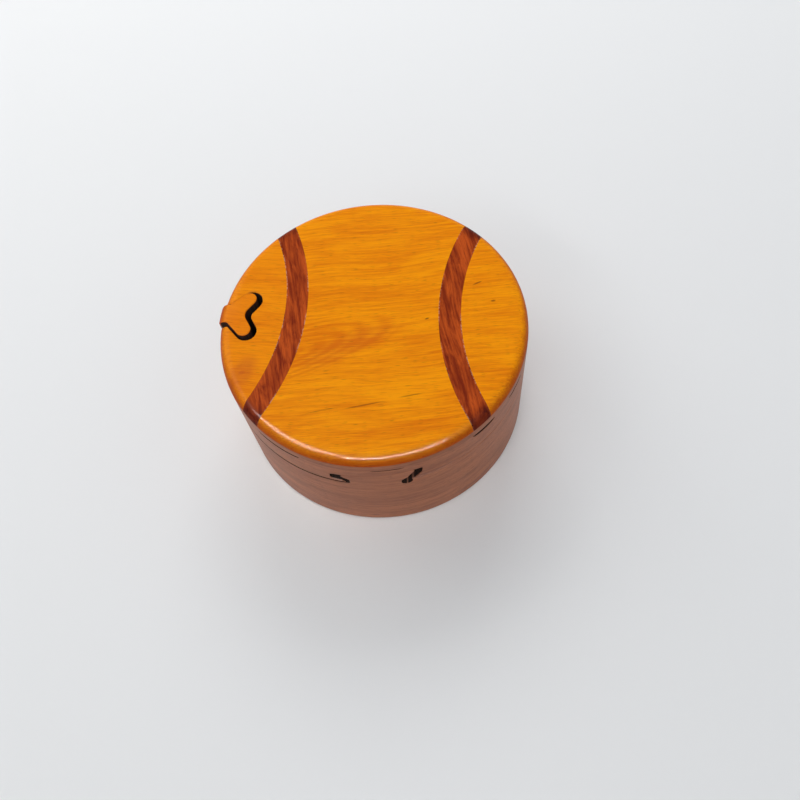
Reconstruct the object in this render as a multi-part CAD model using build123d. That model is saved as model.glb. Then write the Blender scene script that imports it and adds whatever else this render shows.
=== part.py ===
from build123d import *
import os
from math import atan2, acos, cos, sin, tan, radians, hypot

# Round wooden keepsake box: dovetailed sliding lid with an inlaid top and a jigsaw-shaped lock key.
# Millimetres, +Z up, base on z = 0, box axis on Z. The lid slides along Y; the key is on the -X side.

# ---- overall ----
BOX_R = 50.0            # outside radius of base and lid
BASE_H = 31.5           # height of the base's shoulder, where the lid sits
LID_T = 15.5            # lid thickness, core + backing + inlay
SEAM_GAP = 0.1          # running clearance between lid and base on the flat faces
EDGE_R = 3.65           # roundover on the lid's top edge
FOOT_R = 0.8            # eased bottom edge

# ---- base ----
CAVITY_R = 33.5
BOTTOM_T = 5.0
FELT_T = 1.2
FELT_GAP = 0.3          # felt disc is cut a little small

# ---- dovetail: both flanks wander as the saw did, and the rail's top leans a little ----
RAIL_H = 5.75           # rail height above the shoulder, at the middle
RAIL_LEAN = 0.65        # how much lower its top is on the -X side, and higher on the +X side
RAIL_HALF = (12.2, 12.5)        # half-width of the rail's top, -X side and +X side
# Points from the shoulder up, as (distance from the middle, height above the shoulder).
RAIL_FLANK = (((8.3, 0.0), (8.3, 2.1)), ((7.4, 0.0), (7.4, 0.3), (9.6, 1.9)))
RAIL_ROUND = ((0.4, 0.8), (0.4, 1.4, 0.6))
GROOVE_HALF = (14.2, 14.6)      # half-width of the groove's ceiling
GROOVE_FLANK = (((9.5, 0.0), (10.7, 0.9), (14.3, 1.4)), ((11.6, 0.0), (14.2, 3.2)))
GROOVE_ROUND = ((0.4, 0.8, 1.0, 1.4), (0.4, 1.2, 0.7))
TURN_X, TURN_DROP, TURN_R = 9.4, 0.9, 1.8     # hole left where the saw turned at the rail's +X foot

# ---- lid layers ----
BACKING_T = 3.0
INLAY_T = 2.8

# ---- inlay: two arcs curving towards the middle ----
INLAY_TURN = -3.8       # degrees about Z
INLAY_X, INLAY_Y = 0.1, 4.05
ARC_CENTRE = 101.9      # arc centre from the inlay's middle
ARC_R = 80.5            # band edge nearer the middle
BAND_W = 7.2

# ---- key, drawn in its own frame: u along the radius, v across it ----
KEY_ANGLE = 174.1       # direction of the key's radius
NECK_HALF = 3.35
NECK_R = 1.5
LOBE_INSET = 9.45       # lobe centre in from the rim
LOBE_V, LOBE_R = 5.9, 2.4
FLARE_ANGLE = 45.0
NOTCH_INSET = 12.25     # notch centre in from the rim
NOTCH_R = 3.2
KERF = 1.1              # saw cut between key and socket
KEY_OUT = 0.75          # key drawn out along its radius
KEY_SIDE = -0.15        # and a little across
KEY_PROUD = 0.9         # and standing above the lid
KEY_FOOT_GAP = 0.25     # foot above the base's shoulder, so the lid is free
POCKET_T = 1.2          # shallow pocket in the base that the pushed-down key drops into

PAST = 1.0              # how far a cutting body runs past what it cuts
KEY_REACH = 8.0         # how far the key's outline runs out past the rim

LID_Z = BASE_H + SEAM_GAP
TOP_Z = LID_Z + LID_T
INLAY_Z = TOP_Z - INLAY_T
BACKING_Z = INLAY_Z - BACKING_T
RAIL_Z = BASE_H + RAIL_H + RAIL_LEAN
LOBE_U = BOX_R - LOBE_INSET
NOTCH_U = BOX_R - NOTCH_INSET
ON_BASE = (Align.CENTER, Align.CENTER, Align.MIN)


def disc(radius, z0, z1):
    return Pos(0, 0, z0) * Cylinder(radius, z1 - z0, align=ON_BASE)


def along_y(profile):
    """A profile drawn in X and Z, carried through the whole box along Y."""
    return extrude(Plane.XZ * profile, BOX_R + KEY_REACH, both=True)


def rounded(points, radii):
    """A polygon with some of its corners rounded: radii maps a corner's number to its radius."""
    face = Polygon(*points, align=None)
    for number, radius in radii.items():
        x, z = points[number]
        corner = face.vertices().sort_by_distance(Vector(x, z, 0))[0]
        face = fillet(corner, radius)
    return face


def dovetail(sides, rounds, low):
    """A closed profile from a -X and a +X flank, each listed upward from the foot, run down to low."""
    left = [(-x, z) for x, z in sides[0]]
    points = [(left[0][0], low)] + left + sides[1][::-1] + [(sides[1][0][0], low)]
    radii = tuple(rounds[0]) + tuple(rounds[1])[::-1]
    first = 1 + len(left) - len(rounds[0])
    return rounded(points, {first + number: radius for number, radius in enumerate(radii)})


def top_of_rail(x):
    """Height of the rail's leaning top above the shoulder."""
    return RAIL_H + RAIL_LEAN * (2 * (x + RAIL_HALF[0]) / sum(RAIL_HALF) - 1)


def rail_profile():
    sides = [[(x, BASE_H + z) for x, z in flank] for flank in RAIL_FLANK]
    for side, sign in ((0, -1), (1, 1)):
        sides[side].append((RAIL_HALF[side], BASE_H + top_of_rail(sign * RAIL_HALF[side])))
    return dovetail(sides, RAIL_ROUND, BASE_H - PAST)


def groove_profile():
    sides = [[(x, LID_Z + z) for x, z in flank] for flank in GROOVE_FLANK]
    for side, sign in ((0, -1), (1, 1)):
        sides[side].append((GROOVE_HALF[side], LID_Z + top_of_rail(sign * GROOVE_HALF[side])))
    return dovetail(sides, GROOVE_ROUND, LID_Z - PAST)


def saw_turn():
    return along_y(Pos(TURN_X, BASE_H - TURN_DROP) * Circle(TURN_R))


def key_outline():
    """Neck running out past the rim, flaring into two lobes with a notch between them."""
    out = BOX_R + KEY_REACH
    flare = radians(FLARE_ANGLE)
    t1 = (LOBE_U + LOBE_R * cos(flare), LOBE_V + LOBE_R * sin(flare))
    bend_u = t1[0] + (t1[1] - NECK_HALF) / tan(flare)
    run = NECK_R * tan(flare / 2)
    n1 = (bend_u + run, NECK_HALF)
    n2 = (bend_u - run * cos(flare), NECK_HALF + run * sin(flare))
    centre = (n1[0], NECK_HALF + NECK_R)
    nm = (centre[0] - NECK_R * sin(flare / 2), centre[1] - NECK_R * cos(flare / 2))
    du, dv = NOTCH_U - LOBE_U, -LOBE_V
    normal = atan2(dv, du) - acos((LOBE_R + NOTCH_R) / hypot(du, dv))
    if normal < 0:
        normal += radians(360)
    t2 = (LOBE_U + LOBE_R * cos(normal), LOBE_V + LOBE_R * sin(normal))
    mid = (flare + normal) / 2
    lobe = (LOBE_U + LOBE_R * cos(mid), LOBE_V + LOBE_R * sin(mid))
    t3 = (NOTCH_U - NOTCH_R * cos(normal), -NOTCH_R * sin(normal))
    notch_tip = (NOTCH_U + NOTCH_R, 0)
    m1, m2, mm, mt1, mt2, mt3, ml = [(u, -v) for u, v in (n1, n2, nm, t1, t2, t3, lobe)]
    edges = [Line((out, NECK_HALF), n1), ThreePointArc(n1, nm, n2), Line(n2, t1), ThreePointArc(t1, lobe, t2),
             Line(t2, t3), ThreePointArc(t3, notch_tip, mt3), Line(mt3, mt2), ThreePointArc(mt2, ml, mt1),
             Line(mt1, m2), ThreePointArc(m2, mm, m1), Line(m1, (out, -NECK_HALF)),
             Line((out, -NECK_HALF), (out, NECK_HALF))]
    return make_face(edges)


def key_prism(z0, z1, grow=0.0):
    face = key_outline()
    if grow:
        face = offset(face, amount=grow, kind=Kind.ARC)
    return Rot(0, 0, KEY_ANGLE) * Pos(0, 0, z0) * extrude(face, z1 - z0)


def lid_blank():
    blank = disc(BOX_R, LID_Z, TOP_Z)
    return fillet(blank.edges().group_by(Axis.Z)[-1], EDGE_R)


def layer(z0, z1):
    return lid_blank() & disc(BOX_R + PAST, z0, z1)


def socket():
    return key_prism(LID_Z - PAST, TOP_Z + PAST, KERF)


def bottom_plate():
    plate = disc(BOX_R, 0, BOTTOM_T)
    return fillet(plate.edges().group_by(Axis.Z)[0], FOOT_R)


def box_wall():
    wall = disc(BOX_R, BOTTOM_T, BASE_H)
    rail = along_y(rail_profile()) & disc(BOX_R, BASE_H - PAST, RAIL_Z)
    wall = wall + rail - disc(CAVITY_R, BOTTOM_T - PAST, RAIL_Z + PAST) - saw_turn()
    return wall - key_prism(BASE_H - POCKET_T, BASE_H + PAST, KERF)


def felt_floor():
    return disc(CAVITY_R - FELT_GAP, BOTTOM_T, BOTTOM_T + FELT_T)


def lid_core():
    return layer(LID_Z, BACKING_Z) - along_y(groove_profile()) - socket()


def lid_backing():
    return layer(BACKING_Z, INLAY_Z) - socket()


def arc_disc(side, radius):
    place = Pos(INLAY_X, INLAY_Y, 0) * Rot(0, 0, INLAY_TURN) * Pos(side * ARC_CENTRE, 0, 0)
    return place * disc(radius, INLAY_Z - PAST, TOP_Z + PAST)


def inlay_pieces():
    """Centre panel, then band and outer panel on each side; the key's socket is cut through all of them."""
    sheet = layer(INLAY_Z, TOP_Z) - socket()
    pieces = {"centre_panel": sheet - arc_disc(-1, ARC_R) - arc_disc(1, ARC_R)}
    for name, side in (("left", -1), ("right", 1)):
        pieces[name + "_band"] = (sheet & arc_disc(side, ARC_R)) - arc_disc(side, ARC_R - BAND_W)
        pieces[name + "_panel"] = sheet & arc_disc(side, ARC_R - BAND_W)
    return pieces


def key_pieces():
    """The key is sawn out of the same blank, then drawn out, across and up to where it stands."""
    foot = LID_Z - SEAM_GAP + KEY_FOOT_GAP - KEY_PROUD
    blank = disc(BOX_R, foot, TOP_Z)
    blank = fillet(blank.edges().group_by(Axis.Z)[-1], EDGE_R)
    key = blank & key_prism(foot - PAST, TOP_Z + PAST)
    cuts = {"key_stem": (foot, BACKING_Z), "key_backing": (BACKING_Z, INLAY_Z), "key_cap": (INLAY_Z, TOP_Z)}
    a = radians(KEY_ANGLE)
    move = Pos(KEY_OUT * cos(a) - KEY_SIDE * sin(a), KEY_OUT * sin(a) + KEY_SIDE * cos(a), KEY_PROUD)
    return {name: move * (key & disc(BOX_R + PAST, z0, z1)) for name, (z0, z1) in cuts.items()}


def build():
    parts = {"box_wall": box_wall(), "bottom_plate": bottom_plate(), "felt_floor": felt_floor(),
             "lid_core": lid_core(), "lid_backing": lid_backing()}
    parts.update(inlay_pieces())
    parts.update(key_pieces())
    return parts


os.makedirs("parts", exist_ok=True)
for node, shape in build().items():
    solids = shape.solids()
    assert len(solids) == 1, (node, len(solids))
    export_step(solids[0], f"parts/{node}.step")
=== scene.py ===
"""Round wooden keepsake box: dovetailed sliding lid, inlaid top, jigsaw-shaped lock key."""

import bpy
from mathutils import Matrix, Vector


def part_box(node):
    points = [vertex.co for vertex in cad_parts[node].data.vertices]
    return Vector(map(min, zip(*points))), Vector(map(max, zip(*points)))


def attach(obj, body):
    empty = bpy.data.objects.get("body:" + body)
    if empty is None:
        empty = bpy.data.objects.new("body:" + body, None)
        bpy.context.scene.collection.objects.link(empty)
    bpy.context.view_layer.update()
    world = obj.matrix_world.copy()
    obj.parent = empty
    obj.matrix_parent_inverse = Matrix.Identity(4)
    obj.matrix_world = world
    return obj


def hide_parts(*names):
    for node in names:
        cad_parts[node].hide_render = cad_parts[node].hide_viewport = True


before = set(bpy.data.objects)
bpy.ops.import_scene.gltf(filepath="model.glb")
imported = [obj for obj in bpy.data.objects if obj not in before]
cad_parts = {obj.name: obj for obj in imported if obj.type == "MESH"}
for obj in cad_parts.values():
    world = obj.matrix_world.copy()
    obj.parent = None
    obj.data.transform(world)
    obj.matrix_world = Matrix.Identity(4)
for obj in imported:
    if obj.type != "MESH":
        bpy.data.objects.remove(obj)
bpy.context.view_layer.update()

from math import acos, atan2, cos, hypot, pi, radians, sin, sqrt, tan

import bmesh
import bpy
from mathutils import Matrix, Vector

bl_info = {
    "name": "Keepsake Puzzle Box",
    "version": (1, 0, 0),
    "blender": (4, 5, 0),
    "location": "View3D > Sidebar > Puzzle Box",
    "description": "Builds a round wooden box with a dovetailed sliding lid and a jigsaw-shaped key",
    "category": "Add Mesh",
}

MM = 0.001

# Heights and radii that the CAD model settles.
BOX_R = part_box("bottom_plate")[1].x
PLATE_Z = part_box("bottom_plate")[1].z
FELT_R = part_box("felt_floor")[1].x
FELT_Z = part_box("felt_floor")[1].z
LID_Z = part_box("lid_core")[0].z
RAIL_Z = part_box("box_wall")[1].z
CORE_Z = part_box("lid_core")[1].z
INLAY_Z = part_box("centre_panel")[0].z
TOP_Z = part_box("centre_panel")[1].z
KEY_FOOT_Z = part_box("key_stem")[0].z
KEY_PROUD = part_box("key_cap")[1].z - TOP_Z

# Dovetail outlines from the -X foot over the top to the +X foot: millimetres from the middle, height above
# the shoulder, and the round on that corner.
RAIL_OUTLINE = ((-8.3, 0.0, 0.0), (-8.3, 2.1, 0.4), (-12.2, 5.1, 0.8), (12.5, 6.4, 0.6), (9.6, 1.9, 1.4),
                (7.4, 0.3, 0.4), (7.4, 0.0, 0.0))
GROOVE_OUTLINE = ((-9.5, 0.0, 0.4), (-10.7, 0.9, 0.8), (-14.3, 1.4, 1.0), (-14.2, 5.0, 1.4), (14.6, 6.5, 0.7),
                  (14.2, 3.2, 1.2), (11.6, 0.0, 0.4))
SAW_TURN = (9.4, -0.9, 1.8)       # centre and radius of the round hole at the rail's +X foot

ROUND_STEPS = 288       # facets round the box
ARC_STEPS = 10          # facets on each small round of the key
LIP_ANGLES = [pi / 8 * step for step in range(5)]      # quarter turn of a sanded lip
NOT_LEVEL = 0.997       # a sawn face's normal rises less than this; planed faces are level


# ---------------------------------------------------------------- sizes and colours

def linear(code):
    """sRGB hex to linear red, green, blue and alpha."""
    parts = [int(code[i:i + 2], 16) / 255 for i in (1, 3, 5)]
    return tuple(c / 12.92 if c <= 0.04045 else ((c + 0.055) / 1.055) ** 2.4 for c in parts) + (1.0,)


def length(name, description, millimetres):
    return bpy.props.FloatProperty(name=name, description=description, default=millimetres * MM,
                                   min=0.0, unit="LENGTH", precision=5)


def turn(name, description, degrees_):
    return bpy.props.FloatProperty(name=name, description=description, default=radians(degrees_),
                                   unit="ROTATION")


def colour(name, description, code):
    return bpy.props.FloatVectorProperty(name=name, description=description, default=linear(code),
                                         size=4, min=0.0, max=1.0, subtype="COLOR")


class BoxSizes(bpy.types.PropertyGroup):
    edge_r: length("Edge roundover", "Radius sanded on the lid's top edge", 3.65)
    foot_r: length("Foot ease", "Radius on the bottom edge", 0.8)
    ease: length("Arris ease", "How far the seam's edges are sanded back", 0.25)
    seam_gap: length("Seam gap", "Clearance between lid and base", 0.1)
    cavity_r: length("Cavity radius", "Radius of the hollow", 33.5)
    inlay_turn: turn("Inlay turn", "Turn of the inlay about the box's axis", -3.8)
    inlay_x: bpy.props.FloatProperty(name="Inlay X", description="Middle of the inlay across",
                                     default=0.1 * MM, unit="LENGTH", precision=5)
    inlay_y: length("Inlay Y", "Middle of the inlay along", 4.05)
    arc_centre: length("Arc centre", "From the inlay's middle to a band's centre of curvature", 101.9)
    arc_r: length("Arc radius", "Band edge nearer the middle", 80.5)
    band_w: length("Band width", "Width of the dark bands", 7.2)
    key_angle: turn("Key direction", "Direction of the key's radius", 174.1)
    neck_half: length("Key neck", "Half-width of the key's neck", 3.35)
    neck_r: length("Key neck round", "Radius where the neck flares", 1.5)
    nose_r: length("Key nose round", "Radius on the neck's outer corners", 1.6)
    lobe_u: length("Lobe reach", "Lobe centre from the box's axis", 40.55)
    lobe_v: length("Lobe spread", "Lobe centre from the key's middle", 5.9)
    lobe_r: length("Lobe radius", "Radius of each lobe", 2.4)
    notch_u: length("Notch reach", "Notch centre from the box's axis", 37.75)
    notch_r: length("Notch radius", "Radius of the notch", 3.2)
    flare: turn("Flare", "Angle of the key's flares", 45.0)
    kerf: length("Saw cut", "Width of the saw cut round the key", 1.1)
    key_out: length("Key out", "How far the key is drawn outward", 0.75)
    key_side: length("Key across", "How far the key is drawn across", 0.15)
    key_ease: length("Key ease", "Radius on the key's and socket's top edges", 0.35)
    pocket: length("Pocket depth", "Depth of the key's pocket in the base", 1.2)


class BoxColours(bpy.types.PropertyGroup):
    gold_light: colour("Gold, light", "Early wood of the gold panels", "#FA9C03")
    gold_deep: colour("Gold, deep", "Late wood of the gold panels", "#E07401")
    gold_streak: colour("Gold, streak", "Dark lines, pin knots and pores", "#6E3608")
    amber: colour("Amber", "Redder lacquer of the left panel and key", "#E87808")
    # Rim: brown multiplied over the gold at the rounded rim, a painted shade.
    rim: colour("Rim", "Brown of the thick lacquer over the rim", "#B87C3C")
    band_light: colour("Band, light", "Orange figure in the bands", "#C2521A")
    band_deep: colour("Band, deep", "Dark figure in the bands", "#7A2408")
    side_light: colour("Side, light", "Light grain of the sides", "#B26A42")
    side_deep: colour("Side, deep", "Dark grain of the sides", "#884A2A")
    felt: colour("Felt", "Felt in the bottom", "#5B0F18")
    floor: colour("Floor", "Card under the box", "#EFF0F0")


# ---------------------------------------------------------------- materials

def node(tree, kind, settings, inputs):
    """Adds a node with its settings; an input is a value, a socket to link, or a node's first output."""
    new = tree.nodes.new(kind)
    for key, value in settings.items():
        setattr(new, key, value)
    for key, value in inputs.items():
        if isinstance(value, bpy.types.Node):
            value = value.outputs[0]
        if isinstance(value, bpy.types.NodeSocket):
            tree.links.new(value, new.inputs[key])
        else:
            new.inputs[key].default_value = value
    return new


def blank_material(name):
    material = bpy.data.materials.get(name)
    if material:
        bpy.data.materials.remove(material)
    material = bpy.data.materials.new(name)
    material.use_nodes = True
    return material, material.node_tree, material.node_tree.nodes["Principled BSDF"]


def board_coordinates(tree, tilt=0.0, moved=(0.0, 0.0, 0.0), wander=0.0):
    """Object coordinates in millimetres, turned so that X runs along the grain, which may wander."""
    place = node(tree, "ShaderNodeTexCoord", {}, {})
    board = node(tree, "ShaderNodeMapping", {}, {
        "Vector": place.outputs["Object"], "Scale": (1 / MM,) * 3, "Rotation": (0.0, 0.0, tilt),
        "Location": moved})
    drift = node(tree, "ShaderNodeTexNoise", {}, {"Vector": board, "Scale": 1 / 45, "Detail": 1.0})
    return node(tree, "ShaderNodeVectorMath", {"operation": "MULTIPLY_ADD"},
                {0: drift.outputs["Color"], 1: (0.0, wander, 0.0), 2: board})


def flecks(tree, board, stretch, detail, distortion=0.0, roughness=0.55):
    """Noise drawn out along the board: stretch is a fleck's size in millimetres along X, Y and Z."""
    drawn = node(tree, "ShaderNodeMapping", {}, {"Vector": board, "Scale": [1 / s for s in stretch]})
    return node(tree, "ShaderNodeTexNoise", {}, {
        "Vector": drawn, "Scale": 1.0, "Detail": detail, "Roughness": roughness, "Distortion": distortion})


def blemish(tree, x, y, lean, long, wide):
    """1 inside a soft, thin ellipse on the top, given in millimetres from the box's axis, and 0 outside."""
    place = node(tree, "ShaderNodeTexCoord", {}, {})
    local = node(tree, "ShaderNodeMapping", {"vector_type": "TEXTURE"}, {
        "Vector": place.outputs["Object"], "Location": (x * MM, y * MM, 0.0),
        "Rotation": (0.0, 0.0, radians(lean)), "Scale": (long * MM, wide * MM, 1.0)})
    reach = node(tree, "ShaderNodeVectorMath", {"operation": "LENGTH"}, {0: local})
    return node(tree, "ShaderNodeMapRange", {"interpolation_type": "SMOOTHSTEP"}, {
        "Value": reach.outputs["Value"], "From Min": 0.35, "From Max": 1.0, "To Min": 1.0, "To Max": 0.0})


def toward_rim(tree, start, end, strength):
    """0 up to a distance in millimetres from the box's axis, rising to strength at another."""
    place = node(tree, "ShaderNodeTexCoord", {}, {})
    flat = node(tree, "ShaderNodeVectorMath", {"operation": "MULTIPLY"}, {
        0: place.outputs["Object"], 1: (1 / MM, 1 / MM, 0.0)})
    radius = node(tree, "ShaderNodeVectorMath", {"operation": "LENGTH"}, {0: flat})
    return node(tree, "ShaderNodeMapRange", {"interpolation_type": "SMOOTHSTEP"}, {
        "Value": radius.outputs["Value"], "From Min": start, "From Max": end, "To Max": strength})


def lacquered_jackfruit(colours, name, tilt, redden, moved, blemishes=()):
    """Jackfruit heartwood, sanded and sprayed with amber lacquer: deep honey gold with fine straight grain,
    a pointed figure where the saw met the growth rings, short pores, and a thin clear gloss."""
    material, tree, shader = blank_material(name)
    board = board_coordinates(tree, tilt, moved, 5.0)
    broad = flecks(tree, board, (38.0, 9.0, 9.0), 3.0, 0.3)
    streaks = flecks(tree, board, (24.0, 0.9, 0.9), 3.0, 0.0, 0.65)
    fibres = flecks(tree, board, (7.0, 0.35, 0.35), 2.0)
    tone = node(tree, "ShaderNodeMath", {"operation": "MULTIPLY_ADD"}, {0: streaks, 1: 0.55, 2: 0.0})
    tone = node(tree, "ShaderNodeMath", {"operation": "MULTIPLY_ADD"}, {0: broad, 1: 0.45, 2: tone})
    tone = node(tree, "ShaderNodeMath", {"operation": "MULTIPLY_ADD"}, {0: fibres, 1: 0.45, 2: tone})
    # Growth rings cut at a slant: long nested ellipses whose points lie a little right of the middle.
    ellipse = node(tree, "ShaderNodeMapping", {"vector_type": "TEXTURE"}, {
        "Vector": board, "Location": (-35.0, -9.5, 0.0), "Rotation": (0.0, 0.0, radians(16)),
        "Scale": (45.0, 10.0, 1e5)})
    rings = node(tree, "ShaderNodeTexWave", {"wave_type": "RINGS", "rings_direction": "Z"}, {
        "Vector": ellipse, "Scale": 1.9, "Distortion": 1.6, "Detail": 2.0, "Detail Scale": 1.2})
    reach = node(tree, "ShaderNodeVectorMath", {"operation": "LENGTH"}, {0: ellipse})
    inside = node(tree, "ShaderNodeMapRange", {"interpolation_type": "SMOOTHSTEP"}, {
        "Value": reach.outputs["Value"], "From Min": 0.97, "From Max": 1.1, "To Min": 0.12, "To Max": 0.0})
    tone = node(tree, "ShaderNodeMath", {"operation": "MULTIPLY_ADD"}, {
        0: rings.outputs["Fac"], 1: inside, 2: tone})
    late = node(tree, "ShaderNodeMapRange", {"interpolation_type": "SMOOTHSTEP"}, {
        "Value": tone, "From Min": 0.56, "From Max": 0.94})
    wood = node(tree, "ShaderNodeMix", {"data_type": "RGBA"}, {
        0: late, 6: colours.gold_light, 7: colours.gold_deep}).outputs[2]
    wood = node(tree, "ShaderNodeMix", {"data_type": "RGBA"}, {
        0: redden, 6: wood, 7: colours.amber}).outputs[2]
    # Pores: short dashes, drawn about twice their real 0.1 mm width so that they show.
    pores = flecks(tree, board, (2.8, 0.22, 0.22), 0.0)
    open_pores = node(tree, "ShaderNodeMapRange", {}, {
        "Value": pores, "From Min": 0.66, "From Max": 0.8, "To Min": 0.0, "To Max": 0.35})
    wood = node(tree, "ShaderNodeMix", {"data_type": "RGBA"}, {
        0: open_pores, 6: wood, 7: colours.gold_streak}).outputs[2]
    # Dark lines and pin knots: place, lean in degrees, half length, half width, how whole, strength, stain.
    lines = flecks(tree, board, (5.0, 0.3, 0.3), 2.0)
    for x, y, lean, long, wide, whole, strength, stain in blemishes:
        broken = node(tree, "ShaderNodeMapRange", {}, {
            "Value": lines, "From Min": 0.38 - whole, "From Max": 0.6 - whole, "To Min": 0.0,
            "To Max": strength})
        depth = node(tree, "ShaderNodeMath", {"operation": "MULTIPLY"}, {
            0: blemish(tree, x, y, lean, long, wide), 1: broken})
        wood = node(tree, "ShaderNodeMix", {"data_type": "RGBA"}, {
            0: depth, 6: wood, 7: stain}).outputs[2]
    # Painted shade: the gold is multiplied browner and darker toward the sanded rim, where the top rounds
    # over away from the light.
    wood = node(tree, "ShaderNodeMix", {"data_type": "RGBA", "blend_type": "MULTIPLY"}, {
        0: toward_rim(tree, 47.6, 50.05, 0.9), 6: wood, 7: colours.rim}).outputs[2]
    shader.inputs["Roughness"].default_value = 0.4
    shader.inputs["IOR"].default_value = 1.5
    shader.inputs["Specular IOR Level"].default_value = 0.02
    shader.inputs["Coat Weight"].default_value = 0.1
    shader.inputs["Coat Roughness"].default_value = 0.05
    tree.links.new(wood, shader.inputs["Base Color"])
    relief = node(tree, "ShaderNodeMath", {"operation": "ADD"}, {0: fibres, 1: streaks})
    bump = node(tree, "ShaderNodeBump", {}, {"Strength": 0.2, "Distance": 0.04 * MM, "Height": relief})
    tree.links.new(bump.outputs[0], shader.inputs["Normal"])
    return material


def lacquered_padauk(colours, sizes):
    """Padauk strip, sanded flush and lacquered: dark red-brown with orange, blotchy figure along the strip,
    and crumbs of dried glue caught along its sawn edges."""
    material, tree, shader = blank_material("Padauk, lacquered")
    board = board_coordinates(tree, radians(80), (0.0, 0.0, 0.0), 4.0)
    blotches = flecks(tree, board, (11.0, 2.6, 2.6), 4.0, 0.8, 0.6)
    streaks = flecks(tree, board, (16.0, 0.7, 0.7), 3.0, 0.3)
    pores = flecks(tree, board, (2.2, 0.3, 0.3), 1.0)
    tone = node(tree, "ShaderNodeMath", {"operation": "MULTIPLY_ADD"}, {0: blotches, 1: 0.8, 2: 0.0})
    tone = node(tree, "ShaderNodeMath", {"operation": "MULTIPLY_ADD"}, {0: streaks, 1: 0.6, 2: tone})
    figure = node(tree, "ShaderNodeMapRange", {"interpolation_type": "SMOOTHSTEP"}, {
        "Value": tone, "From Min": 0.5, "From Max": 0.9})
    wood = node(tree, "ShaderNodeMix", {"data_type": "RGBA"}, {
        0: figure, 6: colours.band_deep, 7: colours.band_light}).outputs[2]
    open_pores = node(tree, "ShaderNodeMapRange", {}, {
        "Value": pores, "From Min": 0.6, "From Max": 0.75, "To Min": 0.0, "To Max": 0.5})
    wood = node(tree, "ShaderNodeMix", {"data_type": "RGBA"}, {
        0: open_pores, 6: wood, 7: linear("#3A1006")}).outputs[2]
    # Distance from the strip's two curved edges, the same on both sides of the inlay.
    place = node(tree, "ShaderNodeTexCoord", {}, {})
    inlay = node(tree, "ShaderNodeMapping", {"vector_type": "TEXTURE"}, {
        "Vector": place.outputs["Object"], "Location": (sizes.inlay_x, sizes.inlay_y, 0.0),
        "Rotation": (0.0, 0.0, sizes.inlay_turn)})
    side = node(tree, "ShaderNodeVectorMath", {"operation": "ABSOLUTE"}, {0: inlay})
    arm = node(tree, "ShaderNodeVectorMath", {"operation": "SUBTRACT"}, {
        0: side, 1: (sizes.arc_centre, 0.0, 0.0)})
    arm = node(tree, "ShaderNodeVectorMath", {"operation": "MULTIPLY"}, {0: arm, 1: (1.0, 1.0, 0.0)})
    reach = node(tree, "ShaderNodeVectorMath", {"operation": "LENGTH"}, {0: arm})
    middle = node(tree, "ShaderNodeMath", {"operation": "SUBTRACT"}, {
        0: reach.outputs["Value"], 1: sizes.arc_r - sizes.band_w / 2})
    off = node(tree, "ShaderNodeMath", {"operation": "ABSOLUTE"}, {0: middle})
    near = node(tree, "ShaderNodeMapRange", {}, {
        "Value": off, "From Min": sizes.band_w / 2 - 0.4 * MM, "From Max": sizes.band_w / 2 - 0.12 * MM})
    crumbs = node(tree, "ShaderNodeMapRange", {}, {
        "Value": flecks(tree, board, (0.7, 0.7, 0.7), 2.0), "From Min": 0.46, "From Max": 0.56})
    patches = node(tree, "ShaderNodeMapRange", {}, {
        "Value": flecks(tree, board, (14.0, 14.0, 14.0), 1.0), "From Min": 0.4, "From Max": 0.5,
        "To Min": 0.0, "To Max": 0.6})
    glue = node(tree, "ShaderNodeMath", {"operation": "MULTIPLY"}, {0: crumbs, 1: patches})
    glue = node(tree, "ShaderNodeMath", {"operation": "MULTIPLY"}, {0: glue, 1: near})
    wood = node(tree, "ShaderNodeMix", {"data_type": "RGBA"}, {
        0: glue, 6: wood, 7: linear("#D9A987")}).outputs[2]
    # Painted shade: the strip is multiplied darker and purpler toward the rim, where the top rounds over.
    wood = node(tree, "ShaderNodeMix", {"data_type": "RGBA", "blend_type": "MULTIPLY"}, {
        0: toward_rim(tree, 44.0, 49.5, 0.8), 6: wood, 7: linear("#8C5A50")}).outputs[2]
    shader.inputs["Roughness"].default_value = 0.4
    shader.inputs["IOR"].default_value = 1.5
    shader.inputs["Specular IOR Level"].default_value = 0.02
    shader.inputs["Coat Weight"].default_value = 0.1
    shader.inputs["Coat Roughness"].default_value = 0.06
    tree.links.new(wood, shader.inputs["Base Color"])
    bump = node(tree, "ShaderNodeBump", {}, {"Strength": 0.25, "Distance": 0.05 * MM, "Height": tone})
    tree.links.new(bump.outputs[0], shader.inputs["Normal"])
    return material


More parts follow.
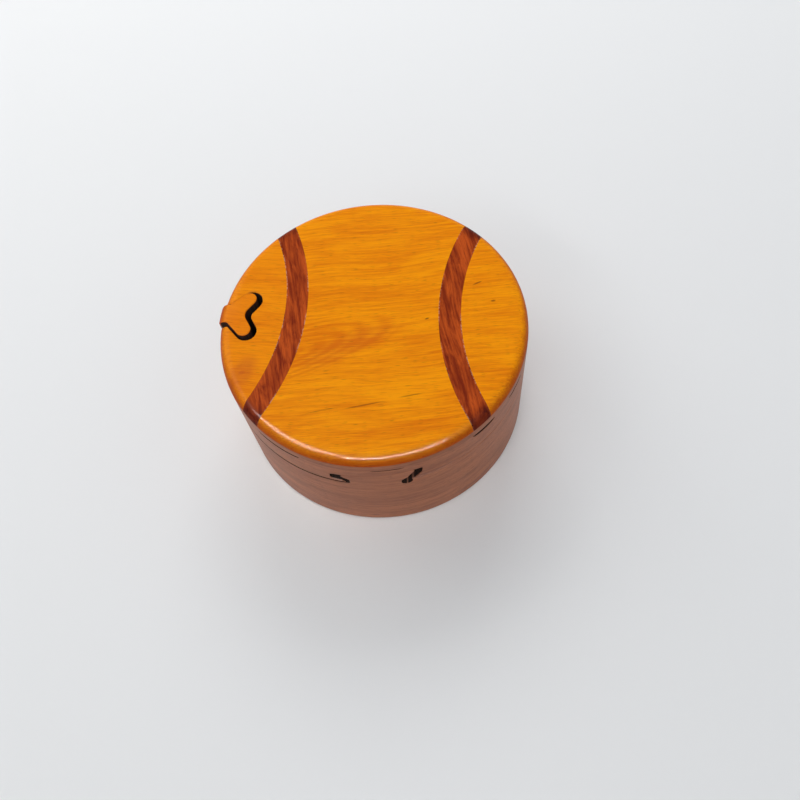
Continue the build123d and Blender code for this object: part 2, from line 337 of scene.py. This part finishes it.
def satin_mahogany(colours, name, moved):
    """Mahogany block, sawn, drum-sanded and wiped with thin lacquer: dull brown with fine level grain and
    short dark pores, and a satin sheen that picks up the table."""
    material, tree, shader = blank_material(name)
    board = board_coordinates(tree, 0.0, moved, 3.0)
    broad = flecks(tree, board, (70.0, 30.0, 6.0), 3.0, 0.3)
    streaks = flecks(tree, board, (30.0, 6.0, 0.9), 4.0, 0.0, 0.6)
    fibres = flecks(tree, board, (8.0, 2.0, 0.35), 2.0)
    tone = node(tree, "ShaderNodeMath", {"operation": "MULTIPLY_ADD"}, {0: broad, 1: 0.6, 2: 0.0})
    tone = node(tree, "ShaderNodeMath", {"operation": "MULTIPLY_ADD"}, {0: streaks, 1: 0.5, 2: tone})
    tone = node(tree, "ShaderNodeMath", {"operation": "MULTIPLY_ADD"}, {0: fibres, 1: 0.3, 2: tone})
    early = node(tree, "ShaderNodeMapRange", {"interpolation_type": "SMOOTHSTEP"}, {
        "Value": tone, "From Min": 0.48, "From Max": 0.92})
    wood = node(tree, "ShaderNodeMix", {"data_type": "RGBA"}, {
        0: early, 6: colours.side_deep, 7: colours.side_light}).outputs[2]
    # Pores: short dashes, drawn about twice their real width so that they show.
    pores = flecks(tree, board, (3.0, 1.0, 0.25), 0.0)
    open_pores = node(tree, "ShaderNodeMapRange", {}, {
        "Value": pores, "From Min": 0.62, "From Max": 0.76, "To Min": 0.0, "To Max": 0.45})
    wood = node(tree, "ShaderNodeMix", {"data_type": "RGBA"}, {
        0: open_pores, 6: wood, 7: linear("#4A2718")}).outputs[2]
    shader.inputs["Roughness"].default_value = 0.45
    shader.inputs["IOR"].default_value = 1.5
    shader.inputs["Specular IOR Level"].default_value = 0.24
    tree.links.new(wood, shader.inputs["Base Color"])
    relief = node(tree, "ShaderNodeMath", {"operation": "ADD"}, {0: fibres, 1: streaks})
    bump = node(tree, "ShaderNodeBump", {}, {"Strength": 0.35, "Distance": 0.06 * MM, "Height": relief})
    tree.links.new(bump.outputs[0], shader.inputs["Normal"])
    return material


def saw_cut_painted_shade():
    """Painted shade on saw-cut faces left raw: dark umber standing in for the shade inside narrow cuts and
    opened joints, dry, with upright blade marks.
    """
    if "Wood, saw-cut-painted-shade" in bpy.data.materials:
        return bpy.data.materials["Wood, saw-cut-painted-shade"]
    material, tree, shader = blank_material("Wood, saw-cut-painted-shade")
    board = board_coordinates(tree)
    marks = flecks(tree, board, (0.6, 0.6, 9.0), 3.0)
    burn = node(tree, "ShaderNodeMapRange", {}, {"Value": marks, "From Min": 0.35, "From Max": 0.7})
    # Painted shade: dark umber where the cuts and gaps lie in shade.
    wood = node(tree, "ShaderNodeMix", {"data_type": "RGBA"}, {
        0: burn, 6: linear("#241108"), 7: linear("#4A2814")}).outputs[2]
    shader.inputs["Roughness"].default_value = 0.85
    shader.inputs["Specular IOR Level"].default_value = 0.05
    tree.links.new(wood, shader.inputs["Base Color"])
    bump = node(tree, "ShaderNodeBump", {}, {"Strength": 0.5, "Distance": 0.08 * MM, "Height": marks})
    tree.links.new(bump.outputs[0], shader.inputs["Normal"])
    return material


def pressed_felt(colours):
    """Pressed wool felt: matted fibres, no weave, a soft bloom at grazing angles."""
    material, tree, shader = blank_material("Wool felt, pressed")
    cloth = board_coordinates(tree)
    fuzz = flecks(tree, cloth, (0.5, 0.5, 0.5), 4.0, 1.5, 0.7)
    clouds = flecks(tree, cloth, (6.0, 6.0, 6.0), 2.0)
    shade = node(tree, "ShaderNodeMath", {"operation": "MULTIPLY_ADD"}, {0: clouds, 1: 0.4, 2: fuzz})
    dark = node(tree, "ShaderNodeMapRange", {}, {
        "Value": shade, "From Min": 0.5, "From Max": 0.9, "To Min": 0.0, "To Max": 0.6})
    wool = node(tree, "ShaderNodeMix", {"data_type": "RGBA"}, {
        0: dark, 6: colours.felt, 7: linear("#2C060B")})
    shader.inputs["Roughness"].default_value = 0.95
    shader.inputs["Sheen Weight"].default_value = 0.12
    shader.inputs["Sheen Roughness"].default_value = 0.5
    tree.links.new(wool.outputs[2], shader.inputs["Base Color"])
    bump = node(tree, "ShaderNodeBump", {}, {"Strength": 0.7, "Distance": 0.25 * MM, "Height": fuzz})
    tree.links.new(bump.outputs[0], shader.inputs["Normal"])
    return material


def matt_card(colours):
    """Matt white card: flat and even, with a trace of tooth."""
    material, tree, shader = blank_material("Card, matt")
    tooth = flecks(tree, board_coordinates(tree), (1.5, 1.5, 1.5), 2.0)
    bump = node(tree, "ShaderNodeBump", {}, {"Strength": 0.05, "Distance": 0.05 * MM, "Height": tooth})
    shader.inputs["Base Color"].default_value = colours.floor
    shader.inputs["Specular IOR Level"].default_value = 0.02
    shader.inputs["Roughness"].default_value = 0.75
    tree.links.new(bump.outputs[0], shader.inputs["Normal"])
    return material


# ---------------------------------------------------------------- shapes

def disc(radius, low, high):
    bm = bmesh.new()
    bmesh.ops.create_circle(bm, cap_ends=True, segments=ROUND_STEPS, radius=radius,
                            matrix=Matrix.Translation((0, 0, low)))
    thicken(bm, high - low)
    return bm


def thicken(bm, height):
    """Raises the one flat face of bm into a prism."""
    raised = bmesh.ops.extrude_face_region(bm, geom=list(bm.faces), use_keep_orig=True)["geom"]
    bmesh.ops.translate(bm, verts=[v for v in raised if isinstance(v, bmesh.types.BMVert)],
                        vec=(0, 0, height))
    bmesh.ops.recalc_face_normals(bm, faces=bm.faces)


def level_edges(bm, height):
    """Edges of bm that lie flat at this height."""
    return [e for e in bm.edges if all(abs(v.co.z - height) < 0.001 * MM for v in e.verts)]


def ease(bm, edges, radius, steps):
    bmesh.ops.bevel(bm, geom=edges, offset=radius, offset_type="OFFSET", affect="EDGES", segments=steps,
                    profile=0.5, material=-1, clamp_overlap=False)


def slab(bm, low, high):
    """Keeps what lies between two heights and closes the cuts."""
    for height, upper in ((low, False), (high, True)):
        cut = bmesh.ops.bisect_plane(bm, geom=bm.verts[:] + bm.edges[:] + bm.faces[:], dist=0.0001 * MM,
                                     plane_co=(0, 0, height), plane_no=(0, 0, 1),
                                     clear_outer=upper, clear_inner=not upper)
        rim = [e for e in cut["geom_cut"] if isinstance(e, bmesh.types.BMEdge) and e.is_boundary]
        if rim:
            bmesh.ops.edgeloop_fill(bm, edges=rim)
    bmesh.ops.recalc_face_normals(bm, faces=bm.faces)


def rounded_profile(corners, rounds):
    """A flat polygon in X and Z whose corners are rounded; rounds maps a corner's number to its radius."""
    bm = bmesh.new()
    points = [Vector((x, 0, z)) for x, z in corners]
    first = last = None
    for number, here in enumerate(points):
        before, after = points[number - 1], points[(number + 1) % len(points)]
        into, out = (before - here).normalized(), (after - here).normalized()
        half, radius = into.angle(out) / 2, rounds.get(number, 0)
        new = bm.verts.new(here + into * radius / tan(half))
        if last:
            bm.edges.new((last, new))
        first, last = first or new, new
        if radius:
            centre = here + (into + out).normalized() * radius / sin(half)
            axis = (into - out).cross(into + out) * -1
            swept = bmesh.ops.spin(bm, geom=[new], cent=centre, axis=axis.normalized(), angle=pi - 2 * half,
                                   steps=12, use_duplicate=False, use_merge=False)["geom_last"]
            last = [v for v in swept if isinstance(v, bmesh.types.BMVert)][0]
    bm.edges.new((last, first))
    bmesh.ops.edgeloop_fill(bm, edges=bm.edges)
    return bm


def along_y(bm):
    """Carries a flat X-Z profile right through the box along Y."""
    bmesh.ops.translate(bm, verts=bm.verts, vec=(0, -1.3 * BOX_R, 0))
    raised = bmesh.ops.extrude_face_region(bm, geom=list(bm.faces), use_keep_orig=True)["geom"]
    bmesh.ops.translate(bm, verts=[v for v in raised if isinstance(v, bmesh.types.BMVert)],
                        vec=(0, 2.6 * BOX_R, 0))
    bmesh.ops.recalc_face_normals(bm, faces=bm.faces)
    return bm


def dovetail(outline, foot, low, wide):
    """The prism inside a dovetail outline whose foot stands at a height. It runs down to low, and out to wide
    on both sides if that is given."""
    first, last = outline[0], outline[-1]
    corners = [(x * MM, foot + z * MM) for x, z, r in outline]
    rounds = {number: r * MM for number, (x, z, r) in enumerate(outline)}
    if wide:
        corners += [(wide, foot)]
        rounds = {number + 2: r for number, r in rounds.items()}
        corners = [(-wide, low), (-wide, foot)] + corners + [(wide, low)]
    else:
        corners += [(last[0] * MM, low), (first[0] * MM, low)]
    return along_y(rounded_profile(corners, rounds))


def saw_turn(shoulder):
    """The hole left where the saw turned at the rail's foot."""
    x, z, radius = SAW_TURN
    bm = bmesh.new()
    place = Matrix.Translation((x * MM, 0, shoulder + z * MM)) @ Matrix.Rotation(pi / 2, 4, "X")
    bmesh.ops.create_circle(bm, cap_ends=True, segments=48, radius=radius * MM, matrix=place)
    return along_y(bm)


def key_ring(bm, sizes, height, grow, nose):
    """One closed outline of the key, or of its socket when grown, at a height: lines and arcs drawn along one
    half and mirrored. The nose is the radius at which the neck ends."""
    flare = sizes.flare
    lobe = Vector((sizes.lobe_u, sizes.lobe_v, height))
    notch = Vector((sizes.notch_u, 0, height))
    lobe_r, notch_r = sizes.lobe_r + grow, sizes.notch_r - grow
    neck, neck_r = sizes.neck_half + grow, sizes.neck_r - grow
    reach = notch - lobe
    normal = atan2(reach.y, reach.x) - acos((lobe_r + notch_r) / hypot(reach.x, reach.y)) + 2 * pi
    start = lobe + lobe_r * Vector((cos(flare), sin(flare), 0))
    bend = start.x + (start.y - neck) / tan(flare)
    run = neck_r * tan(flare / 2)
    shy = neck - sizes.nose_r
    corner = Vector((sqrt((nose - sizes.nose_r) ** 2 - shy ** 2), shy, height))
    nose_end = atan2(corner.y, corner.x)
    tip = bm.verts.new((nose, 0, height))
    moves = [("arc", Vector((0, 0, height)), nose_end), ("arc", corner, pi / 2 - nose_end),
             ("line", Vector((bend + run, neck, height))),
             ("arc", Vector((bend + run, neck + neck_r, height)), -flare), ("line", start),
             ("arc", lobe, normal - flare), ("line", notch - notch_r * Vector((cos(normal), sin(normal), 0))),
             ("arc", notch, -(normal - pi))]
    here = tip
    for kind, place, *angle in moves:
        if kind == "line":
            new = bm.verts.new(place)
            bm.edges.new((here, new))
        else:
            swept = bmesh.ops.spin(bm, geom=[here], cent=place, axis=(0, 0, 1), angle=angle[0],
                                   steps=ARC_STEPS, use_duplicate=False, use_merge=False)["geom_last"]
            new = [v for v in swept if isinstance(v, bmesh.types.BMVert)][0]
        here = new

def key_prism(sizes, rings, nose):
    """A solid through outlines of the key at rising heights, each grown by its own amount."""
    bm = bmesh.new()
    for height, grow in rings:
        level = bmesh.new()
        key_ring(level, sizes, height, grow, nose)
        bmesh.ops.mirror(level, geom=level.verts[:] + level.edges[:], axis="Y", merge_dist=0.001 * MM)
        bmesh.ops.remove_doubles(level, verts=level.verts, dist=0.001 * MM)
        loop = bpy.data.meshes.new("outline")
        level.to_mesh(loop)
        level.free()
        bm.from_mesh(loop)
        bpy.data.meshes.remove(loop)
    heights = [height for height, grow in rings]
    for lower, upper in zip(heights, heights[1:]):
        bmesh.ops.bridge_loops(bm, edges=level_edges(bm, lower) + level_edges(bm, upper))
    for height in (heights[0], heights[-1]):
        bmesh.ops.edgeloop_fill(bm, edges=level_edges(bm, height))
    bmesh.ops.recalc_face_normals(bm, faces=bm.faces)
    bmesh.ops.rotate(bm, verts=bm.verts, cent=(0, 0, 0), matrix=Matrix.Rotation(sizes.key_angle, 3, "Z"))
    return bm


def socket_cut(sizes):
    """The socket, with its top edge sanded to a small round."""
    r = sizes.key_ease
    lip = [(TOP_Z - r + r * sin(a), sizes.kerf + r - r * cos(a)) for a in LIP_ANGLES]
    rings = [(LID_Z - 3 * MM, sizes.kerf)] + lip + [(TOP_Z + 2 * MM, sizes.kerf + r)]
    return key_prism(sizes, rings, BOX_R + 8 * MM)


def glue_gap(height, start, end, tall, deep):
    """A thin wedge along the rim where a joint has opened: half as tall inside, fading at both ends."""
    bm = bmesh.new()
    section = [(BOX_R - deep, height + 0.02 * MM), (BOX_R + 0.3 * MM, height + 0.02 * MM),
               (BOX_R + 0.3 * MM, height - tall), (BOX_R - deep, height - tall)]
    verts = [bm.verts.new((r, 0, z)) for r, z in section]
    face = bm.faces.new(verts)
    bmesh.ops.rotate(bm, verts=verts, cent=(0, 0, 0), matrix=Matrix.Rotation(radians(start), 3, "Z"))
    bmesh.ops.spin(bm, geom=[face] + face.edges[:] + verts, cent=(0, 0, 0), axis=(0, 0, 1),
                   angle=radians(end - start), steps=24, use_duplicate=False)
    for v in bm.verts:
        along = (atan2(v.co.y, v.co.x) - radians(start)) % (2 * pi) / radians(end - start)
        fade = max(0.06, sqrt(max(0.0, 1 - (2 * along - 1) ** 4)))
        if v.co.z < height:
            inner = hypot(v.co.x, v.co.y) < BOX_R - deep / 2
            v.co.z = height - tall * fade * (0.5 if inner else 1.0)
    bmesh.ops.recalc_face_normals(bm, faces=bm.faces)
    return bm


# ---------------------------------------------------------------- pieces

def as_object(name, bm):
    mesh = bpy.data.meshes.new(name)
    bm.to_mesh(mesh)
    bm.free()
    piece = bpy.data.objects.new(name, mesh)
    bpy.context.scene.collection.objects.link(piece)
    return piece


def carve(piece, bm, how="DIFFERENCE"):
    """Cuts bm out of the piece, or keeps only what both share, and applies it."""
    cutter = as_object("cutter", bm)
    cut = piece.modifiers.new("cut", "BOOLEAN")
    cut.object, cut.operation, cut.solver = cutter, how, "EXACT"
    bpy.context.view_layer.update()
    whole = piece.evaluated_get(bpy.context.evaluated_depsgraph_get())
    mesh = bpy.data.meshes.new_from_object(whole)
    spent = [piece.data, cutter.data]
    piece.modifiers.clear()
    piece.data = mesh
    bpy.data.objects.remove(cutter)
    for old in spent:
        bpy.data.meshes.remove(old)


def soften_rim(piece, low, high, radius):
    """Eases the sharp edges of the piece's outer face between two heights."""
    bm = bmesh.new()
    bm.from_mesh(piece.data)
    bmesh.ops.remove_doubles(bm, verts=bm.verts, dist=0.02 * MM)
    bmesh.ops.dissolve_degenerate(bm, edges=bm.edges, dist=0.01 * MM)

    def on_rim(v):
        return abs(hypot(v.co.x, v.co.y) - BOX_R) < 0.02 * MM and low <= v.co.z <= high

    edges = [e for e in bm.edges if all(on_rim(v) for v in e.verts) and len(e.link_faces) == 2
             and e.calc_face_angle() > radians(30)]
    ease(bm, edges, radius, 2)
    bm.to_mesh(piece.data)
    bm.free()


def finish_piece(piece, node_name, body, material, sawn=None, steep=0.15, bore=0.0):
    """Merges, smooths all but the sharp edges, and hands the piece to its CAD body. With sawn given, that
    dark painted-shade material goes on faces between the bore and the rim whose normals rise no more than
    steep."""
    piece.data.materials.clear()
    for each in (material, sawn) if sawn else (material,):
        piece.data.materials.append(each)
    bm = bmesh.new()
    bm.from_mesh(piece.data)
    bmesh.ops.remove_doubles(bm, verts=bm.verts, dist=0.002 * MM)
    bmesh.ops.recalc_face_normals(bm, faces=bm.faces)
    for face in bm.faces:
        middle = face.calc_center_median()
        reach = hypot(middle.x, middle.y)
        within = bore <= reach < BOX_R - 0.25 * MM
        # Steep cut faces inside the rim take the sawn material, which is painted shade.
        face.material_index = 1 if sawn and within and abs(face.normal.z) < steep else 0
    bm.to_mesh(piece.data)
    bm.free()
    piece.data.shade_smooth()
    piece.data.set_sharp_from_angle(angle=radians(32))
    flats = piece.modifiers.new("flat faces first", "WEIGHTED_NORMAL")
    flats.keep_sharp = True
    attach(piece, body)
    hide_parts(node_name)


class MakeBase(bpy.types.Operator):
    """Hollow base with its dovetail rail, and the bottom plate glued under it"""
    bl_idname = "puzzle_box.base"
    bl_label = "Base"

    def execute(self, context):
        sizes, colours = context.scene.puzzle_box_sizes, context.scene.puzzle_box_colours
        block = satin_mahogany(colours, "Mahogany, satin, base", (0.0, 0.0, 0.0))
        plate_wood = satin_mahogany(colours, "Mahogany, satin, plate", (31.0, 17.0, 4.0))
        wall = as_object("base_wall", disc(BOX_R, PLATE_Z, RAIL_Z))
        shoulder = LID_Z - sizes.seam_gap
        carve(wall, dovetail(RAIL_OUTLINE, shoulder, PLATE_Z - 1 * MM, 1.3 * BOX_R), "INTERSECT")
        carve(wall, saw_turn(shoulder))
        carve(wall, disc(sizes.cavity_r, PLATE_Z - 2 * MM, RAIL_Z + 2 * MM))
        floor = shoulder - sizes.pocket
        carve(wall, key_prism(sizes, [(floor, sizes.kerf), (RAIL_Z + 2 * MM, sizes.kerf)], BOX_R + 8 * MM))
        soften_rim(wall, shoulder - 0.01 * MM, shoulder + 0.01 * MM, sizes.ease)
        # The seam stands open at the front left, and is deeper where the saw ran in beside the rail.
        for start, end, tall, deep in ((-162.0, -101.0, 0.65, 0.9), (-107.0, -99.4, 0.5, 2.5)):
            carve(wall, glue_gap(shoulder, start, end, tall * MM, deep * MM))
        # The rail's flanks, saw turn, pocket and open seam take the dark painted shade of the saw cut.
        finish_piece(wall, "box_wall", "base", block, saw_cut_painted_shade(), NOT_LEVEL,
                     sizes.cavity_r + 0.5 * MM)
        bm = disc(BOX_R, 0.0, PLATE_Z)
        ease(bm, level_edges(bm, 0.0), sizes.foot_r, 6)
        plate = as_object("base_plate", bm)
        finish_piece(plate, "bottom_plate", "base", plate_wood)
        return {"FINISHED"}


class MakeFelt(bpy.types.Operator):
    """Felt disc glued into the bottom of the hollow"""
    bl_idname = "puzzle_box.felt"
    bl_label = "Felt"

    def execute(self, context):
        bm = disc(FELT_R, PLATE_Z, FELT_Z)
        ease(bm, level_edges(bm, FELT_Z), 0.5 * MM, 3)
        felt = as_object("base_felt", bm)
        finish_piece(felt, "felt_floor", "base", pressed_felt(context.scene.puzzle_box_colours))
        return {"FINISHED"}


def lid_blank(sizes):
    """The whole lid before it is sawn, with its top edge sanded round."""
    bm = disc(BOX_R, LID_Z, TOP_Z)
    ease(bm, level_edges(bm, TOP_Z), sizes.edge_r, 12)
    top = [f for f in bm.faces if f.normal.z > 0.99 and f.calc_center_median().z > TOP_Z - 0.01 * MM]
    bmesh.ops.inset_region(bm, faces=top, thickness=0.3 * MM, use_even_offset=True)
    return bm


class MakeLidBoards(bpy.types.Operator):
    """Lid core with its groove, and the thin backing board under the inlay"""
    bl_idname = "puzzle_box.lid_boards"
    bl_label = "Lid boards"

    def execute(self, context):
        sizes, colours = context.scene.puzzle_box_sizes, context.scene.puzzle_box_colours
        sawn = saw_cut_painted_shade()
        core = as_object("lid_board", disc(BOX_R, LID_Z, CORE_Z))
        carve(core, dovetail(GROOVE_OUTLINE, LID_Z, LID_Z - 1 * MM, 0.0))
        carve(core, socket_cut(sizes))
        soften_rim(core, LID_Z - 1 * MM, LID_Z + 4.5 * MM, sizes.ease)
        # Joints opened along the rim under the backing board; like the groove and socket, their faces take
        # the dark painted shade of the saw cut.
        for start, end, tall in ((-136.0, -117.0, 1.1), (-91.4, -79.4, 0.45), (-53.0, -42.0, 1.4),
                                 (-33.0, -22.0, 1.0)):
            carve(core, glue_gap(CORE_Z, start, end, tall * MM, 2.0 * MM))
        finish_piece(core, "lid_core", "lid",
                     satin_mahogany(colours, "Mahogany, satin, core", (12.0, 40.0, 9.0)), sawn, NOT_LEVEL)
        bm = lid_blank(sizes)
        slab(bm, CORE_Z, INLAY_Z)
        backing = as_object("lid_underlay", bm)
        carve(backing, socket_cut(sizes))
        finish_piece(backing, "lid_backing", "lid",
                     satin_mahogany(colours, "Mahogany, satin, backing", (50.0, 8.0, 21.0)), sawn)
        return {"FINISHED"}


class MakeInlay(bpy.types.Operator):
    """Five inlaid pieces: a centre panel, two curved bands and two outer panels"""
    bl_idname = "puzzle_box.inlay"
    bl_label = "Inlay"

    def execute(self, context):
        sizes, colours = context.scene.puzzle_box_sizes, context.scene.puzzle_box_colours
        # The socket walls and the joints between the pieces take the dark painted shade of the saw cut.
        sawn = saw_cut_painted_shade()
        dark, ruddy = colours.gold_streak, colours.band_light
        gold = lacquered_jackfruit(
            colours, "Jackfruit, lacquered, centre", radians(-3), 0.0, (0.0, 0.0, 0.0), (
                (-2.5, -30.6, 9.5, 8.0, 0.35, 0.15, 0.6, dark), (12.0, -27.9, 9.0, 4.8, 0.3, 0.15, 0.6, dark),
                (-15.5, -31.8, 10.5, 7.0, 0.35, 0.0, 0.6, dark), (17.6, -0.4, 20.0, 0.9, 0.4, 1.0, 0.8, dark),
                (-8.0, -9.0, 24.0, 22.0, 5.5, 0.45, 0.2, ruddy)))
        amber = lacquered_jackfruit(
            colours, "Jackfruit, lacquered, left", radians(6), 0.25, (30.0, 60.0, 5.0), (
                (-41.1, -17.2, 60.0, 9.0, 5.0, 1.0, 0.45, ruddy),
                (-41.1, -17.2, 20.0, 1.6, 1.0, 1.0, 0.4, ruddy)))
        right = lacquered_jackfruit(
            colours, "Jackfruit, lacquered, right", radians(-2), 0.0, (80.0, 33.0, 9.0), (
                (34.5, 12.5, 25.0, 2.2, 0.38, 0.15, 0.7, dark), (39.1, 5.2, 10.0, 1.0, 0.5, 1.0, 0.7, dark)))
        band = lacquered_padauk(colours, sizes)

        def arc(side, radius):
            bm = bmesh.new()
            bmesh.ops.create_circle(bm, cap_ends=True, segments=2 * ROUND_STEPS, radius=radius)
            thicken(bm, TOP_Z)
            place = (Matrix.Translation((sizes.inlay_x, sizes.inlay_y, 0))
                     @ Matrix.Rotation(sizes.inlay_turn, 4, "Z")
                     @ Matrix.Translation((side * sizes.arc_centre, 0, TOP_Z / 2)))
            bmesh.ops.transform(bm, matrix=place, verts=bm.verts)
            return bm

        def sheet(name):
            bm = lid_blank(sizes)
            slab(bm, INLAY_Z, TOP_Z + 1 * MM)
            piece = as_object(name, bm)
            carve(piece, socket_cut(sizes))
            return piece

        inner = sizes.arc_r - sizes.band_w
        centre = sheet("inlay_centre")
        for side in (-1, 1):
            carve(centre, arc(side, sizes.arc_r))
        finish_piece(centre, "centre_panel", "lid", gold, sawn)
        for word, side, wood in (("left", -1, amber), ("right", 1, right)):
            strip = sheet("inlay_band_" + word)
            carve(strip, arc(side, sizes.arc_r), "INTERSECT")
            carve(strip, arc(side, inner))
            finish_piece(strip, word + "_band", "lid", band, sawn)
            panel = sheet("inlay_side_" + word)
            carve(panel, arc(side, inner), "INTERSECT")
            finish_piece(panel, word + "_panel", "lid", wood, sawn)
        return {"FINISHED"}


class MakeKey(bpy.types.Operator):
    """Jigsaw-shaped key sawn from the lid: gold cap, backing and stem"""
    bl_idname = "puzzle_box.key"
    bl_label = "Key"

    def execute(self, context):
        sizes, colours = context.scene.puzzle_box_sizes, context.scene.puzzle_box_colours
        foot = KEY_FOOT_Z - KEY_PROUD
        # The key's sawn walls take the dark painted shade of the saw cut.
        sawn = saw_cut_painted_shade()
        cap_wood = lacquered_jackfruit(
            colours, "Jackfruit, lacquered, key", radians(12), 0.6, (10.0, 20.0, 40.0))
        block = satin_mahogany(colours, "Mahogany, satin, key", (5.0, 70.0, 2.0))
        direction = Vector((cos(sizes.key_angle), sin(sizes.key_angle), 0))
        across = Vector((-direction.y, direction.x, 0))
        drawn = direction * sizes.key_out - across * sizes.key_side + Vector((0, 0, KEY_PROUD))
        layers = (("key_top", "key_cap", INLAY_Z, TOP_Z + 1 * MM, "gold_wood", cap_wood),
                  ("key_middle", "key_backing", CORE_Z, INLAY_Z, "side_wood", block),
                  ("key_shank", "key_stem", foot, CORE_Z, "side_wood", block))
        for name, node_name, low, high, slot, wood in layers:
            r = sizes.key_ease
            crown = [(TOP_Z - r + r * sin(a), r * cos(a) - r) for a in LIP_ANGLES]
            bm = key_prism(sizes, [(foot, 0.0)] + crown, BOX_R)
            blank = as_object(name, bm)
            envelope = disc(BOX_R + 0.01 * MM, foot - 1 * MM, TOP_Z)
            ease(envelope, level_edges(envelope, TOP_Z), sizes.edge_r, 12)
            carve(blank, envelope, "INTERSECT")
            bm = bmesh.new()
            bm.from_mesh(blank.data)
            slab(bm, low, high)
            bmesh.ops.translate(bm, verts=bm.verts, vec=drawn)
            bm.to_mesh(blank.data)
            bm.free()
            finish_piece(blank, node_name, "key", wood, sawn)
        return {"FINISHED"}


class MakeStage(bpy.types.Operator):
    """Pale floor, soft studio lights and the camera"""
    bl_idname = "puzzle_box.stage"
    bl_label = "Stage"

    def execute(self, context):
        scene = context.scene
        colours = scene.puzzle_box_colours
        bm = bmesh.new()
        bmesh.ops.create_grid(bm, x_segments=1, y_segments=1, size=3.0,
                              matrix=Matrix.Translation((0, 0, -0.05 * MM)))
        floor = as_object("studio_floor", bm)
        floor.data.materials.append(matt_card(colours))

        def soft_light(name, place, width, depth, power, tint, diffuse=True, glossy=True):
            """A soft box that faces the middle of the top and may skip diffuse or glossy light."""
            light = bpy.data.lights.new(name, "AREA")
            light.shape, light.size, light.size_y = "RECTANGLE", width, depth
            light.energy, light.color = power, tint
            lamp = bpy.data.objects.new(name, light)
            lamp.location = place
            lamp.rotation_euler = (Vector((0, 0, TOP_Z)) - lamp.location).to_track_quat("-Z", "Y").to_euler()
            lamp.visible_diffuse, lamp.visible_glossy = diffuse, glossy
            scene.collection.objects.link(lamp)

        warm, white = (1.0, 0.985, 0.96), (1.0, 1.0, 1.0)
        soft_light("Window", (-0.6, 0.42, 0.6), 0.6, 0.6, 1.7, warm)
        soft_light("Skylight", (0.0, 0.75, 0.65), 0.6, 0.4, 3.2, white, glossy=False)
        soft_light("Tube", (-0.6, -0.55, 0.8), 1.0, 0.1, 1.2, white)
        soft_light("Glint left", (-0.57, -0.2, 1.0), 0.7, 0.4, 48.0, warm, diffuse=False)
        soft_light("Glint front", (0.1, -0.72, 1.0), 1.0, 0.12, 75.0, warm, diffuse=False)
        world = scene.world or bpy.data.worlds.new("Studio")
        scene.world = world
        world.use_nodes = True
        sky = world.node_tree.nodes["Background"]
        sky.inputs["Color"].default_value = linear("#F4F6FA")
        sky.inputs["Strength"].default_value = 0.58
        scene.view_settings.view_transform = "Standard"

        # Seen from in front, high up and a little to the right, with a slight lean of the hand.
        aim, azimuth, elevation, distance = Vector((8.55, -29.4, 47.1)) * MM, 6.451, 61.912, 243.93 * MM
        a, e = radians(azimuth), radians(elevation)
        back = Vector((sin(a) * cos(e), -cos(a) * cos(e), sin(e)))
        lens = bpy.data.cameras.new("Camera")
        lens.sensor_width, lens.lens = 36.0, 36.19
        lens.clip_start = 0.01
        camera = bpy.data.objects.new("Camera", lens)
        camera.location = aim + back * distance
        camera.rotation_euler = (back.to_track_quat("Z", "Y").to_matrix()
                                 @ Matrix.Rotation(radians(-8.265), 3, "Z")).to_euler()
        scene.collection.objects.link(camera)
        scene.camera = camera
        return {"FINISHED"}


class BoxPanel(bpy.types.Panel):
    """Lists the box's parts, sizes and colours"""
    bl_idname = "VIEW3D_PT_puzzle_box"
    bl_label = "Puzzle Box"
    bl_space_type = "VIEW_3D"
    bl_region_type = "UI"
    bl_category = "Puzzle Box"

    def draw(self, context):
        for operator in OPERATORS:
            self.layout.operator(operator.bl_idname)
        for group in (context.scene.puzzle_box_sizes, context.scene.puzzle_box_colours):
            column = self.layout.column()
            for name in group.__annotations__:
                column.prop(group, name)


OPERATORS = (MakeBase, MakeFelt, MakeLidBoards, MakeInlay, MakeKey, MakeStage)
CLASSES = (BoxSizes, BoxColours) + OPERATORS + (BoxPanel,)


def register():
    for cls in CLASSES:
        bpy.utils.register_class(cls)
    bpy.types.Scene.puzzle_box_sizes = bpy.props.PointerProperty(type=BoxSizes)
    bpy.types.Scene.puzzle_box_colours = bpy.props.PointerProperty(type=BoxColours)


def unregister():
    del bpy.types.Scene.puzzle_box_colours
    del bpy.types.Scene.puzzle_box_sizes
    for cls in reversed(CLASSES):
        bpy.utils.unregister_class(cls)


def main():
    register()
    bpy.ops.puzzle_box.base()
    bpy.ops.puzzle_box.felt()
    bpy.ops.puzzle_box.lid_boards()
    bpy.ops.puzzle_box.inlay()
    bpy.ops.puzzle_box.key()
    bpy.ops.puzzle_box.stage()


if __name__ == "__main__":
    main()
